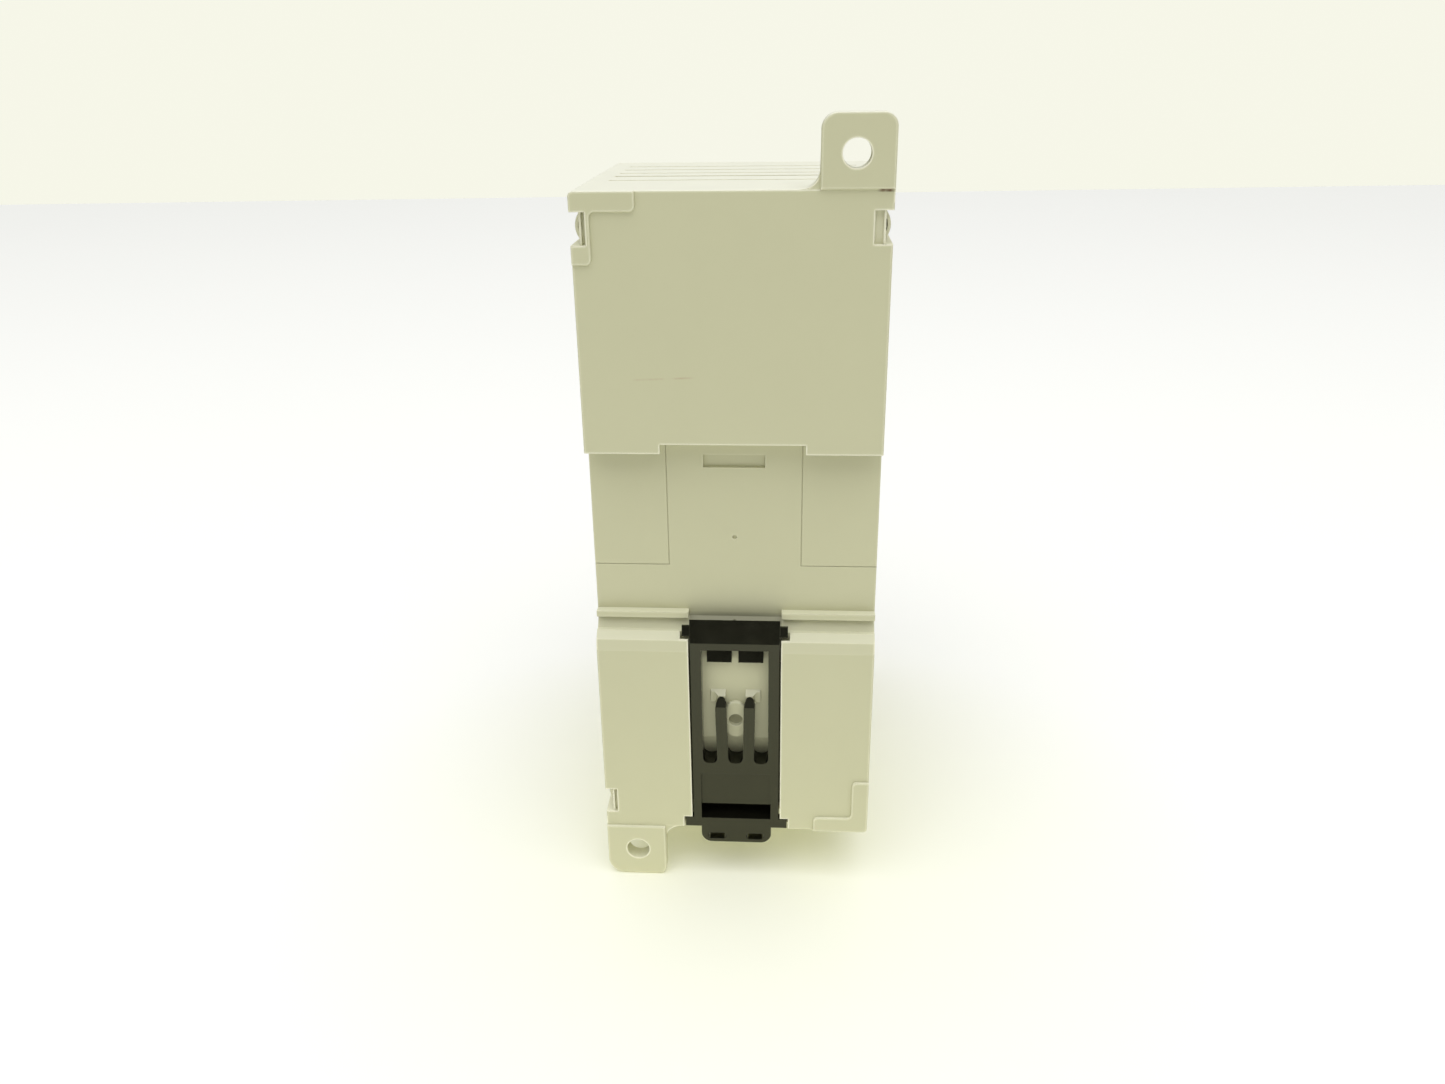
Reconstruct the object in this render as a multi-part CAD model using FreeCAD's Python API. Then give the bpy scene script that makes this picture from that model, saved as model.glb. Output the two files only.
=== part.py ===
import FreeCAD, Part
import math
import os

# A DIN-rail and panel-mount input/output module for a programmable controller.
# Millimetres. Origin: midway between the two panel screw holes, on the plane that
# touches the panel. The front faces -Y, the rear faces +Y, and +Z is up.

# ---- driving dimensions ----
WIDTH = 50.0
HEIGHT = 118.0
DEPTH = 87.0
HALF_W = WIDTH / 2
HALF_H = HEIGHT / 2
PAD_STEP = 0.5                 # the corner pads and lugs stand this proud of the rear face
REAR_Y = -PAD_STEP             # rear face of the housing
SPLIT_Y = -48.8                # joint between rear housing and front cover
SHOULDER_Y = -50.5             # front end of the full-height part
FRONT_HALF_H = 56.0            # the front cover steps down to this half height
FRONT_Y = -DEPTH
WALL = 2.0
CORNER_R = 0.8

# panel lugs
LUG_INNER_X = 13.7
LUG_TOP_Z = 70.0
LUG_THICK = 3.0
UPPER_LUG_R = (2.5, 2.1)       # corner radii, inner then outer
LOWER_LUG_R = (1.5, 3.2)
LUG_WEB_R = 3.0
LUG_GUSSET_T = 1.6
HOLE_X = 19.1
HOLE_Z = 64.2
HOLE_R = 2.2

# corner pads: an L of two arms
PAD_ARM_X = 14.7
PAD_ARM_Z = 55.9
PAD_SIDE_X = 21.85
PAD_SIDE_Z = 47.8
PAD_CORNER_R = 0.9
PAD_EDGE_R = 0.2

# channel for the 35 mm rail
CHANNEL_FLOOR_Y = -4.7
LIP_Z = 16.65
LIP_Y = -1.9
UNDERCUT_Z = 18.3
LIP_NOTCH_X = 12.2
RAIL_RIB_Y = -3.0
RAIL_RIB_Z = (-15.2, -14.1)
LOWER_LIP_Z = -17.6
LIP_FOOT_Z = -20.8             # the slope below the lower lip ends here
SEAM = 0.14                    # width and depth of the lines between mould inserts
SEAM_X = 11.7
SEAM_Z = -5.4
EDGE_R = 0.25                  # small radius that the mould leaves on outer edges
LAP = 0.1                      # overlap of fused pieces, and overshoot of small cuts

# rail latch
LATCH_X = 8.15
LATCH_GAP = 0.22
LATCH_FACE_Y = -0.7
LATCH_BACK_Y = -3.3
LATCH_FLOOR_Y = -3.5
LATCH_TRAVEL = 4.0
LATCH_BOTTOM_Z = -58.4
WEDGE_TOP = (-3.3, -40.6)      # Y and Z where the back of the latch starts to slope
WEDGE_FOOT = (-6.6, -50.0)     # and where the slope ends
EAR_X = 9.55
EAR_Z = (-18.1, -16.2)
EAR_Y = (-2.3, -1.45)
HOOK_TOP_Z = -14.9
HOOK_SLOPE = 0.256             # how far the hook's face moves rearward per millimetre downward
ARM_X = 9.7
ARM_Z = (-58.9, -56.9)
GUIDE_X = 8.75
GUIDE_Y = -2.3
LEG_TIP_Z = -31.05
LEG_BACK_Y = -2.4
WINDOW_X = 6.1
WINDOW_TOP_Z = -20.5
WINDOW_FOOT_Z = -44.5
SLOT_FOOT_R = 1.15
LEG_X = (1.35, 3.4)            # a leg's flanks at its root
LEG_LEAN = 0.26                # how far a leg's tip stands further out than its root
LEG_HALF_W = 1.05
LEG_TIP_R = 0.75
LEG_TAPER_Z = -32.6            # above this a leg narrows to its tip
POST_HALF_W = 1.85
POST_Z = (-40.0, -32.4)
POST_TOP_Y = -2.7
DIMPLE_R = 1.3
POCKET_X = 6.6
POCKET_TOP_Z = -46.8
POCKET_FLOOR_Y = -2.0
POCKET_SLOT_Z = (-57.0, -54.8)
POCKET_SLOT_Y = -5.2
TAB_X = 6.7
TAB_Z = -62.6
TAB_T = 2.2

# side grooves that join neighbouring modules
GROOVE_Z = (50.8, 55.9)
GROOVE_RIM_T = 0.35            # the thin rim in a groove's mouth
GROOVE_END_Y = SPLIT_Y + 6.0
TONGUE_R = 3.4
TONGUE_SINK = 0.2              # the tongue stays this far inside the side face
TONGUE_LEAF = 0.5              # wall of the tongue where its rear end is hollow
TONGUE_HOLLOW = 4.0
TONGUE_REAR_Y = -4.0
# each groove: side (+X or -X), end (up or down), depth, and the rim's distance from the side face
GROOVES = ((1, 1, 2.45, 1.4), (-1, 1, 2.9, 1.15), (1, -1, 2.25, 1.35))

# label on the side wall
LABEL_T = 0.25
LABEL_Y = (-42.0, -12.0)
LABEL_Z = (-40.0, 28.0)

# terminal bay, behind the door
BAY_X = 19.0
BAY_Z = (-53.0, 29.0)
BAY_FLOOR_Y = -68.0
BAY_WALL = 1.4
BLOCK_X = (-10.0, 17.5)
BLOCK_Z = (-50.0, 27.0)
BLOCK_REAR_Y = -72.2
COLUMNS = ((-3.4, -80.6), (10.5, -82.8))   # centre x and top y of each screw column
PIN_X = (0.0, 7.4)
HEADER_X0 = -3.0
HEADER_Z = (-41.6, 18.6)
ROWS = 9
ROW_PITCH = 6.6
ROW_MID_Z = -11.5
GUARD_T = 0.9
SCREW_HOLE_R = 1.6
DRIVER_HOLE_R = 2.6

# circuit boards, both standing in the YZ plane
BOARD_T = 1.6
MAIN_BOARD_X = 10.5
IO_BOARD_X = -12.1
BOARD_HALF_H = 54.5
BOARD_REAR_Y = -10.0
BOARD_STEP_Y = -47.5           # in front of this the boards are lower, to fit the cover
BOARD_NOSE_HALF_H = 53.2
BOARD_GUIDE_T = 1.0

# bus connectors and lever
BUS_Y = (-63.5, -53.0)
BUS_Z = (14.0, 40.0)
LEVER_Z = (41.0, 47.0)
LEVER_TRAVEL = 7.0
LEVER_X = (-12.5, -6.5)
LEVER_NECK_X = (-11.0, -8.5)
TRACK_CLEAR = 3.0              # spare length of the lever's track beyond its travel
FIXED_BUS_X = 24.8
MOVING_BUS_X = -23.6
BUS_SLOT_DEPTH = 5.5
BUS_SLOT_MARGIN = (3.2, 2.0)   # from the connector's edge to its slot, along Y and Z
SNAP_Z = 34.0
SNAP_W = 5.6
LAMP_X = (0.0, 20.0)
LAMP_Z = (36.0, 52.0)

# terminal door
DOOR_T = 2.0
DOOR_Z = (-53.8, 30.4)
DOOR_LABEL_X = 16.0
DOOR_LABEL_Z = (-47.0, 24.0)
SHELF_SINK = 2.3               # the shelf that the door closes onto lies this far in
PIN_Z = (-55.0, 31.8)
HINGE_X = 21.2
HINGE_Y = FRONT_Y + DOOR_T / 2
HINGE_PIN_R = 0.6
HINGE_GAP = 0.05
BLOCK_SCREW_X = 3.75
BLOCK_SCREW_Z = (-46.0, 23.0)

V = FreeCAD.Vector
X_AXIS = V(1, 0, 0)
Y_AXIS = V(0, 1, 0)
Z_AXIS = V(0, 0, 1)
ROW_Z = [ROW_MID_Z + ROW_PITCH * (i - (ROWS - 1) / 2) for i in range(ROWS)]
ROWS_END_Z = (ROW_Z[0] - ROW_PITCH / 2 - 0.6, ROW_Z[-1] + ROW_PITCH / 2 + 0.6)
STEP_X = (COLUMNS[0][0] + COLUMNS[1][0]) / 2
LED_X = [LAMP_X[0] + 2.8 + 4.8 * i for i in range(4)]
LED_Z = [LAMP_Z[0] + 2.6 + 3.6 * i for i in range(4)]


# ---- small shape helpers ----
def block(x0, x1, y0, y1, z0, z1):
    return Part.makeBox(x1 - x0, y1 - y0, z1 - z0, V(x0, y0, z0))


def rod(radius, start, axis, length):
    return Part.makeCylinder(radius, length, V(*start), axis)


def prism(points, direction):
    wire = Part.makePolygon([V(*p) for p in points + points[:1]])
    return Part.Face(wire).extrude(direction)


def prism_x(yz, x0, x1):
    return prism([(x0, y, z) for y, z in yz], X_AXIS * (x1 - x0))


def prism_y(xz, y0, y1):
    return prism([(x, y0, z) for x, z in xz], Y_AXIS * (y1 - y0))


def turned(shape):
    """The same shape on the diagonally opposite corner of the rear face."""
    copy = shape.copy()
    copy.rotate(V(0, 0, 0), Y_AXIS, 180)
    return copy


def mirrored(shape):
    return shape.mirror(V(0, 0, 0), X_AXIS)


def both_sides(shape):
    return [shape, mirrored(shape)]


def edges_along(shape, axis, test=lambda p: True):
    """Straight edges parallel to an axis whose midpoint passes the test."""
    found = []
    for edge in shape.Edges:
        if not isinstance(edge.Curve, Part.Line):
            continue
        if edge.Curve.Direction.cross(axis).Length > 1e-6:
            continue
        if test(edge.CenterOfMass):
            found.append(edge)
    return found


def soften(shape, radius, axis, test=lambda p: True):
    return shape.makeFillet(radius, edges_along(shape, axis, test))


def soften_face(shape, radius, y, test=lambda p: True):
    """Rounds the edges that lie in one plane parallel to XZ."""
    flat = [e for e in shape.Edges if max(abs(v.Y - y) for v in e.Vertexes) < 1e-6]
    flat = [e for e in flat if abs(e.CenterOfMass.y - y) < 1e-6]
    return shape.makeFillet(radius, [e for e in flat if test(e.CenterOfMass)])


def span(a, b):
    """Two coordinates in rising order."""
    return (min(a, b), max(a, b))


def rounded_block(x0, x1, y0, y1, z0, z1, radius, axis):
    return soften(block(x0, x1, y0, y1, z0, z1), radius, axis)


def join(shapes):
    return shapes[0].multiFuse(shapes[1:]).removeSplitter()


def group(shapes):
    return Part.makeCompound(shapes)


# ---- rear housing ----
def panel_lug(inner_r, outer_r):
    """Upper lug: a plate with a screw hole, a rounded web and a gusset at its root."""
    plate = block(-HALF_W, -LUG_INNER_X, -LUG_THICK, 0, HALF_H, LUG_TOP_Z)
    plate = soften(plate, inner_r, Y_AXIS, lambda p: p.z > LUG_TOP_Z - 1 and p.x > -HOLE_X)
    plate = soften(plate, outer_r, Y_AXIS, lambda p: p.z > LUG_TOP_Z - 1 and p.x < -HOLE_X)
    plate = soften_face(plate, EDGE_R, 0)
    root = block(-HALF_W, -LUG_INNER_X, -LUG_THICK, REAR_Y, HALF_H - WALL, HALF_H)
    web = block(-LUG_INNER_X, -LUG_INNER_X + LUG_WEB_R, -LUG_THICK, REAR_Y - LAP,
                HALF_H - PAD_STEP, HALF_H + LUG_WEB_R)
    relief = rod(LUG_WEB_R, (-LUG_INNER_X + LUG_WEB_R, -LUG_THICK - 1, HALF_H + LUG_WEB_R),
                 Y_AXIS, LUG_THICK + 2)
    gusset_z = HALF_H - PAD_STEP
    gusset = prism_x([(-LUG_THICK, gusset_z), (-LUG_THICK, HALF_H + 2 * LUG_THICK),
                      (-3 * LUG_THICK, gusset_z)], -LUG_INNER_X - LUG_GUSSET_T, -LUG_INNER_X)
    hole = rod(HOLE_R, (-HOLE_X, -LUG_THICK - 1, HOLE_Z), Y_AXIS, LUG_THICK + 2)
    return join([plate, root, web.cut(relief), gusset]).cut(hole)


def corner_pad():
    """Upper L-shaped pad that touches the panel, opposite the lug."""
    inner = REAR_Y - PAD_STEP
    arm_top = block(PAD_ARM_X, HALF_W, inner, 0, PAD_ARM_Z, HALF_H)
    arm_top = soften(arm_top, PAD_CORNER_R, Y_AXIS, lambda p: p.x < PAD_SIDE_X and p.z < HALF_H - 1)
    arm_side = block(PAD_SIDE_X, HALF_W, inner, 0, PAD_SIDE_Z, HALF_H)
    arm_side = soften(arm_side, PAD_CORNER_R, Y_AXIS, lambda p: p.x < HALF_W - 1 and p.z < PAD_ARM_Z - 1)
    pad = soften(join([arm_top, arm_side]), CORNER_R, Y_AXIS, lambda p: p.x > HALF_W - 1 and p.z > HALF_H - 1)
    pad = soften(pad, PAD_CORNER_R, Y_AXIS, lambda p: abs(p.x - PAD_SIDE_X) + abs(p.z - PAD_ARM_Z) < 1)
    return soften_face(pad, PAD_EDGE_R, 0)


def rail_channel():
    """Space for the rail: channel, undercut below the upper lip, and the lip's notch."""
    profile = [(LAP, LIP_Z), (CHANNEL_FLOOR_Y, LIP_Z), (CHANNEL_FLOOR_Y, RAIL_RIB_Z[0] - 0.3),
               (-3.4, LOWER_LIP_Z), (-2.5, LOWER_LIP_Z), (-1.1, LOWER_LIP_Z - 1.2), (REAR_Y, LIP_FOOT_Z),
               (LAP, LIP_FOOT_Z)]
    channel = prism_x(profile, -HALF_W - 1, HALF_W + 1)
    undercut = block(-HALF_W - 1, HALF_W + 1, CHANNEL_FLOOR_Y, LIP_Y, LIP_Z - 1, UNDERCUT_Z)
    notch = block(-LIP_NOTCH_X, LIP_NOTCH_X, CHANNEL_FLOOR_Y, LAP, LIP_Z - 1, UNDERCUT_Z)
    return join([channel, undercut, notch])


def channel_marks():
    """Shallow marks in the channel floor: insert seams, a slot and the gate."""
    floor = CHANNEL_FLOOR_Y
    half = SEAM / 2
    slot = block(-5.3, 5.3, floor - 0.6, floor + LAP, 12.9, 15.2)
    upright = block(SEAM_X - half, SEAM_X + half, floor - SEAM, floor + LAP, SEAM_Z, UNDERCUT_Z)
    level = block(SEAM_X, HALF_W + 1, floor - SEAM, floor + LAP, SEAM_Z - half, SEAM_Z + half)
    gate = rod(0.4, (0, floor - 0.3, 0), Y_AXIS, 0.5)
    return [slot, gate] + both_sides(upright) + both_sides(level)


def latch_pocket():
    """Space for the latch: a pocket that opens at the bottom, guide grooves and notches."""
    reach = LATCH_X + LATCH_GAP
    start = reach - 0.5
    top = LOWER_LIP_Z + 0.6
    foot = -HALF_H - 1
    play = 0.25
    wedge_y = WEDGE_FOOT[0] - play
    profile = [(LAP, top), (LATCH_FLOOR_Y, top), (LATCH_FLOOR_Y, WEDGE_TOP[1] + play),
               (wedge_y, WEDGE_FOOT[1] + play), (wedge_y, foot), (LAP, foot)]
    well = prism_x(profile, -reach, reach)
    guide = block(start, GUIDE_X + play, LATCH_FLOOR_Y, GUIDE_Y + play, foot, -23.0)
    ear_notch = block(start, EAR_X + play, EAR_Y[0] - play, LAP, EAR_Z[0] - play, -16.0)
    ear_slot = block(start, EAR_X + play + LAP, EAR_Y[0] - play, EAR_Y[1] + LAP,
                     EAR_Z[0] - LATCH_TRAVEL - play, -17.0)
    arm_notch = block(start, ARM_X + play, -2.6, LAP, foot, ARM_Z[1] + play)
    cuts = []
    for cut in (guide, ear_notch, ear_slot, arm_notch):
        cuts += both_sides(cut)
    return join([well] + cuts)


def latch_cams():
    """Raised details on the pocket floor: a cam above each spring leg and a stop post between them."""
    floor = LATCH_FLOOR_Y
    peak_y = -2.55
    cam_foot_z = -32.6
    outer_x = 4.6
    ridge_z = LEG_TIP_Z
    top_z = ridge_z + 1.0
    ramp = prism_x([(floor - LAP, top_z), (floor, top_z), (peak_y, ridge_z),
                    (peak_y, cam_foot_z), (floor - LAP, cam_foot_z)], LEG_X[0] + 0.5, outer_x)
    flank_x = outer_x + LAP
    flank = prism_y([(outer_x - 1.4, ridge_z), (flank_x, ridge_z + 1.2), (flank_x, cam_foot_z - 1),
                     (outer_x - 0.5, cam_foot_z - 1)], floor + 0.35, peak_y + 1)
    nest = rod(LEG_HALF_W, (LEG_X[0] + 1.2, floor - 1, ridge_z - 1.3), Y_AXIS, 3.0)
    post = rounded_block(-POST_HALF_W, POST_HALF_W, floor - LAP, POST_TOP_Y, *POST_Z,
                         POST_HALF_W - 0.05, Y_AXIS)
    return both_sides(ramp.cut([flank, nest])) + [soften_face(post, 0.3, POST_TOP_Y)]


def post_dimple():
    """Round hole in the stop post, which goes on into the pocket's floor."""
    return rod(DIMPLE_R, (0, LATCH_FLOOR_Y - 3.2, sum(POST_Z) / 2), Y_AXIS, 4.4)


def side_groove(side, up, depth):
    """Cut for one groove that runs from the rear along a side face."""
    z0, z1 = span(up * GROOVE_Z[0], up * GROOVE_Z[1])
    x0, x1 = span(side * (HALF_W - depth), side * (HALF_W + 1))
    return block(x0, x1, GROOVE_END_Y, LAP, z0, z1)


def groove_tongue(side, up, depth, rim_x):
    """Rounded tongue inside a groove, with a thin rim and a shallow web at the rear."""
    mid_z = up * sum(GROOVE_Z) / 2
    half = (GROOVE_Z[1] - GROOVE_Z[0]) / 2
    web_y = -14.0
    keep_half = half - 0.35
    centre_x = side * (HALF_W - TONGUE_SINK - TONGUE_R)
    tongue = rod(TONGUE_R, (centre_x, GROOVE_END_Y, mid_z), Y_AXIS, TONGUE_REAR_Y - GROOVE_END_Y)
    tongue = tongue.cut(rod(TONGUE_R - TONGUE_LEAF, (centre_x, TONGUE_REAR_Y - TONGUE_HOLLOW, mid_z), Y_AXIS,
                            TONGUE_HOLLOW + LAP))
    root_x = side * (HALF_W - depth - LAP)
    keep = block(*span(root_x, side * HALF_W), GROOVE_END_Y - 1, TONGUE_REAR_Y, mid_z - keep_half,
                 mid_z + keep_half)
    rim_outer = side * (HALF_W - rim_x)
    rim_inner = side * (HALF_W - rim_x - GROOVE_RIM_T)
    rim = block(*span(rim_outer, rim_inner), web_y, REAR_Y - 0.3, mid_z - half, mid_z + half)
    web = block(*span(root_x, rim_inner), web_y, REAR_Y - 1.0, mid_z - half, mid_z + half)
    return [tongue.common(keep), rim, web]


def top_vents():
    """Air slots across the top wall, from rear to front."""
    slots = []
    half_x = 21.0
    for y, width in ((-16.5, 0.7), (-23.4, 1.1), (-29.0, 0.7), (-35.4, 0.7), (-42.0, 0.7)):
        slots.append(block(-half_x, half_x, y - width / 2, y + width / 2, HALF_H - WALL - 1, HALF_H + 1))
    return slots


def board_guides():
    """Pairs of ribs on the top and bottom walls that hold the edges of both boards."""
    upper = (BOARD_HALF_H - 1.0, HALF_H - WALL + LAP)
    lower = (-upper[1], -upper[0])
    ribs = []
    for x, z_range in ((MAIN_BOARD_X, upper), (MAIN_BOARD_X, lower), (IO_BOARD_X, lower)):
        for edge in (x - BOARD_GUIDE_T - LAP, x + BOARD_T + LAP):
            ribs.append(block(edge, edge + BOARD_GUIDE_T, SPLIT_Y + 1.0, -12.0, *z_range))
    return ribs


def housing_cavity():
    """Room inside the rear housing, deeper where the rear wall has no channel."""
    inner_x = HALF_W - WALL
    inner_z = HALF_H - WALL
    rear_y = REAR_Y - WALL - 0.2
    deep_y = -8.9
    start = deep_y - LAP
    upper_z = UNDERCUT_Z + WALL + 0.2
    deep = block(-inner_x, inner_x, SPLIT_Y - 1, deep_y, -inner_z, inner_z)
    upper = block(-inner_x, inner_x, start, rear_y, upper_z, inner_z)
    middle = block(-inner_x, inner_x, start, CHANNEL_FLOOR_Y - WALL + LAP, -12.0, upper_z + LAP)
    lower = block(11.5, inner_x, start, rear_y, -inner_z, LIP_FOOT_Z - 0.7)
    return join([deep, upper, middle] + both_sides(lower))


def groove_liner(side, up, depth):
    """Wall that closes the cavity behind a side groove."""
    liner = 1.5
    z0, z1 = span(up * (GROOVE_Z[0] - liner), up * (HALF_H - 1.0))
    x0, x1 = span(side * (HALF_W - depth - liner), side * HALF_W)
    return block(x0, x1, GROOVE_END_Y - liner, REAR_Y - 1.0, z0, z1)


def snap_windows():
    """Openings in the side walls that the front cover's hooks catch in."""
    windows = []
    half = SNAP_W / 2 + 0.4
    for z in (-SNAP_Z, SNAP_Z):
        window = block(HALF_W - WALL - 0.5, HALF_W + 1, SPLIT_Y + 3.0, SPLIT_Y + 5.6, z - half, z + half)
        windows += both_sides(window)
    return windows


def label_recess():
    return block(HALF_W - LABEL_T, HALF_W + 1, *LABEL_Y, *LABEL_Z)


def rear_housing():
    shell = block(-HALF_W, HALF_W, SPLIT_Y, REAR_Y, -HALF_H, HALF_H)
    shell = soften_face(soften(shell, CORNER_R, Y_AXIS), EDGE_R, REAR_Y)
    shell = shell.cut(housing_cavity())
    pad = corner_pad()
    liners = [groove_liner(side, up, depth) for side, up, depth, _ in GROOVES]
    lugs = [panel_lug(*UPPER_LUG_R), turned(panel_lug(*LOWER_LUG_R))]
    shell = join([shell, pad, turned(pad)] + lugs + liners + board_guides())
    shell = shell.cut(rail_channel())
    rib = block(LATCH_X + LATCH_GAP, HALF_W, CHANNEL_FLOOR_Y - LAP, RAIL_RIB_Y, *RAIL_RIB_Z)
    shell = join([shell] + both_sides(rib))
    cuts = channel_marks() + [latch_pocket(), label_recess()] + snap_windows()
    cuts += [side_groove(side, up, depth) for side, up, depth, _ in GROOVES]
    vents = top_vents()
    cuts += vents + [turned(slot) for slot in vents]
    shell = shell.cut(cuts)
    extras = latch_cams()
    for groove in GROOVES:
        extras += groove_tongue(*groove)
    return join([shell] + extras).cut(post_dimple())


# ---- rail latch ----
def latch_leg():
    """One spring leg: it leans outward and ends in a round tip that slopes back."""
    tip_z = LEG_TIP_Z - LEG_TIP_R
    root_z = WINDOW_FOOT_Z - 1
    x0, x1 = LEG_X
    tip_x = (x0 + x1) / 2 + LEG_LEAN
    flanks = [(x0, root_z), (x1, root_z), (tip_x + LEG_HALF_W, LEG_TAPER_Z), (tip_x + LEG_TIP_R, tip_z),
              (tip_x - LEG_TIP_R, tip_z), (tip_x - LEG_HALF_W, LEG_TAPER_Z)]
    bar = prism_y(flanks, LEG_BACK_Y, LATCH_FACE_Y)
    tip = rod(LEG_TIP_R, (tip_x, LEG_BACK_Y, tip_z), Y_AXIS, LATCH_FACE_Y - LEG_BACK_Y)
    slope = prism_x([(LATCH_FACE_Y, -32.3), (-1.8, LEG_TIP_Z), (LATCH_FACE_Y + 1, LEG_TIP_Z + 1),
                     (LATCH_FACE_Y + 1, -32.3)], 0, WINDOW_X)
    return join([bar, tip]).cut(slope)


def latch_window():
    """Opening in the latch around its two spring legs, with a round foot to each slot."""
    y0 = WEDGE_FOOT[0] - 1
    y1 = LATCH_FACE_Y + 1
    shoulder_z = WINDOW_FOOT_Z + SLOT_FOOT_R
    slots = [block(-WINDOW_X, WINDOW_X, y0, y1, shoulder_z, WINDOW_TOP_Z)]
    for x0, x1 in ((-WINDOW_X, -LEG_X[1]), (-LEG_X[0], LEG_X[0]), (LEG_X[1], WINDOW_X)):
        slots.append(rounded_block(x0, x1, y0, y1, WINDOW_FOOT_Z, shoulder_z + 2 * SLOT_FOOT_R,
                                   SLOT_FOOT_R, Y_AXIS))
    return join(slots)


def latch_body():
    """Side profile of the latch: hook, flat plate, and the wedge that holds the tool pocket."""
    slope_foot = -19.2
    top_y = LATCH_FACE_Y - HOOK_SLOPE * (HOOK_TOP_Z - slope_foot)
    back_y = -1.95
    profile = [(back_y, HOOK_TOP_Z - LAP), (top_y, HOOK_TOP_Z), (LATCH_FACE_Y, slope_foot),
               (LATCH_FACE_Y, LATCH_BOTTOM_Z), (WEDGE_FOOT[0], LATCH_BOTTOM_Z), WEDGE_FOOT, WEDGE_TOP,
               (LATCH_BACK_Y, EAR_Z[0]), (back_y, EAR_Z[0])]
    body = prism_x(profile, -LATCH_X, LATCH_X)
    return soften(body, 0.2, Z_AXIS, lambda p: p.y > LATCH_FACE_Y - LAP)


def tool_pocket():
    """Pocket for a screwdriver tip: a shallow floor that leads to a deep slot."""
    slot_foot_z, slot_top_z = POCKET_SLOT_Z
    mouth = LATCH_FACE_Y + LAP
    ease = 0.3
    profile = [(mouth, POCKET_TOP_Z), (POCKET_FLOOR_Y, POCKET_TOP_Z), (POCKET_FLOOR_Y, slot_top_z + ease),
               (POCKET_FLOOR_Y - ease, slot_top_z), (POCKET_SLOT_Y, slot_top_z),
               (POCKET_SLOT_Y, slot_foot_z), (mouth, slot_foot_z)]
    return prism_x(profile, -POCKET_X, POCKET_X)


def pull_tab():
    """Tab below the latch, with two shallow grip slots."""
    tab = block(-TAB_X, TAB_X, LATCH_FACE_Y - TAB_T, LATCH_FACE_Y, TAB_Z, LATCH_BOTTOM_Z + LAP)
    tab = soften(tab, 2.0, Y_AXIS, lambda p: p.z < TAB_Z + 3)
    tab = soften_face(tab, EDGE_R, LATCH_FACE_Y, lambda p: p.z < LATCH_BOTTOM_Z)
    grip = rounded_block(1.9, 5.4, LATCH_FACE_Y - TAB_T - 1, 0, TAB_Z + 0.8, TAB_Z + 2.2, 0.65, Y_AXIS)
    return tab.cut(both_sides(grip))


def din_latch():
    start = LATCH_X - 0.5
    body = latch_body().cut(latch_window())
    ear_top_y = EAR_Y[1] - HOOK_SLOPE * (EAR_Z[1] - EAR_Z[0])
    ear = prism_x([(EAR_Y[0], EAR_Z[0]), (EAR_Y[1], EAR_Z[0]), (ear_top_y, EAR_Z[1]), (EAR_Y[0], EAR_Z[1])],
                  start, EAR_X)
    guide = block(start, GUIDE_X, LATCH_BACK_Y, GUIDE_Y, -54.0, -24.0)
    arm = block(TAB_X - 0.5, ARM_X, -2.4, LATCH_FACE_Y, *ARM_Z)
    tongue = prism_x([(LATCH_BACK_Y, -23.6), (-2.0, -23.6), (-3.0, WINDOW_TOP_Z + 0.5),
                      (LATCH_BACK_Y, WINDOW_TOP_Z + 0.5)], 0.6, 5.15)
    gate = block(-0.2, 0.2, -1.93, -1.83, HOOK_TOP_Z - 0.3, HOOK_TOP_Z + LAP)
    pieces = [body, pull_tab(), gate]
    for extra in (latch_leg(), ear, guide, arm, tongue):
        pieces += both_sides(extra)
    return join(pieces).cut(tool_pocket())


# ---- front cover ----
def snap_hook(z):
    """Springy hook that reaches into the rear housing and catches in its side window."""
    inner_x = HALF_W - WALL
    stem_x = inner_x - 1.5
    z0 = z - SNAP_W / 2
    z1 = z + SNAP_W / 2
    root = block(stem_x, inner_x + 0.5, SHOULDER_Y - 1.5, SPLIT_Y, z0, z1)
    stem = block(stem_x, inner_x - 0.15, SHOULDER_Y, SPLIT_Y + 6.5, z0, z1)
    barb_y = SPLIT_Y + 3.3
    barb = prism([(inner_x - 0.2, barb_y, z0), (inner_x + 1.0, barb_y, z0),
                  (inner_x - 0.2, barb_y + 2.0, z0)], Z_AXIS * SNAP_W)
    return join([root, stem, barb])


def bay_room():
    return block(-BAY_X, BAY_X, FRONT_Y - 1, BAY_FLOOR_Y, *BAY_Z)


def terminal_bay():
    """Box-shaped bay for the terminal block, and the shelf around its mouth."""
    shelf_y = FRONT_Y + SHELF_SINK
    outer_x = BAY_X + BAY_WALL
    tube = block(-outer_x, outer_x, shelf_y + LAP, BAY_FLOOR_Y + BAY_WALL,
                 BAY_Z[0] - BAY_WALL, BAY_Z[1] + BAY_WALL)
    shelf = block(-HALF_W + 1, HALF_W - 1, shelf_y, shelf_y + 1.5, -FRONT_HALF_H + 1, BAY_Z[1] + 3.1)
    return join([tube, shelf]).cut(bay_room())


def lever_track():
    """Shallow track for the lever's thumb piece, and the slot that its neck passes through."""
    front = FRONT_Y - 1
    x0, x1 = LEVER_X
    track = block(x0 - LEVER_TRAVEL - TRACK_CLEAR, x1 + TRACK_CLEAR, front, FRONT_Y + 1.2,
                  LEVER_Z[0] - 0.8, LEVER_Z[1] + 0.8)
    neck_x0, neck_x1 = LEVER_NECK_X
    slot = block(neck_x0 - LEVER_TRAVEL - TRACK_CLEAR + 0.4, neck_x1 + TRACK_CLEAR + LAP, front,
                 FRONT_Y + WALL + 1, LEVER_Z[0] + 1.9, LEVER_Z[1] - 1.9)
    return [track, slot]


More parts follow.
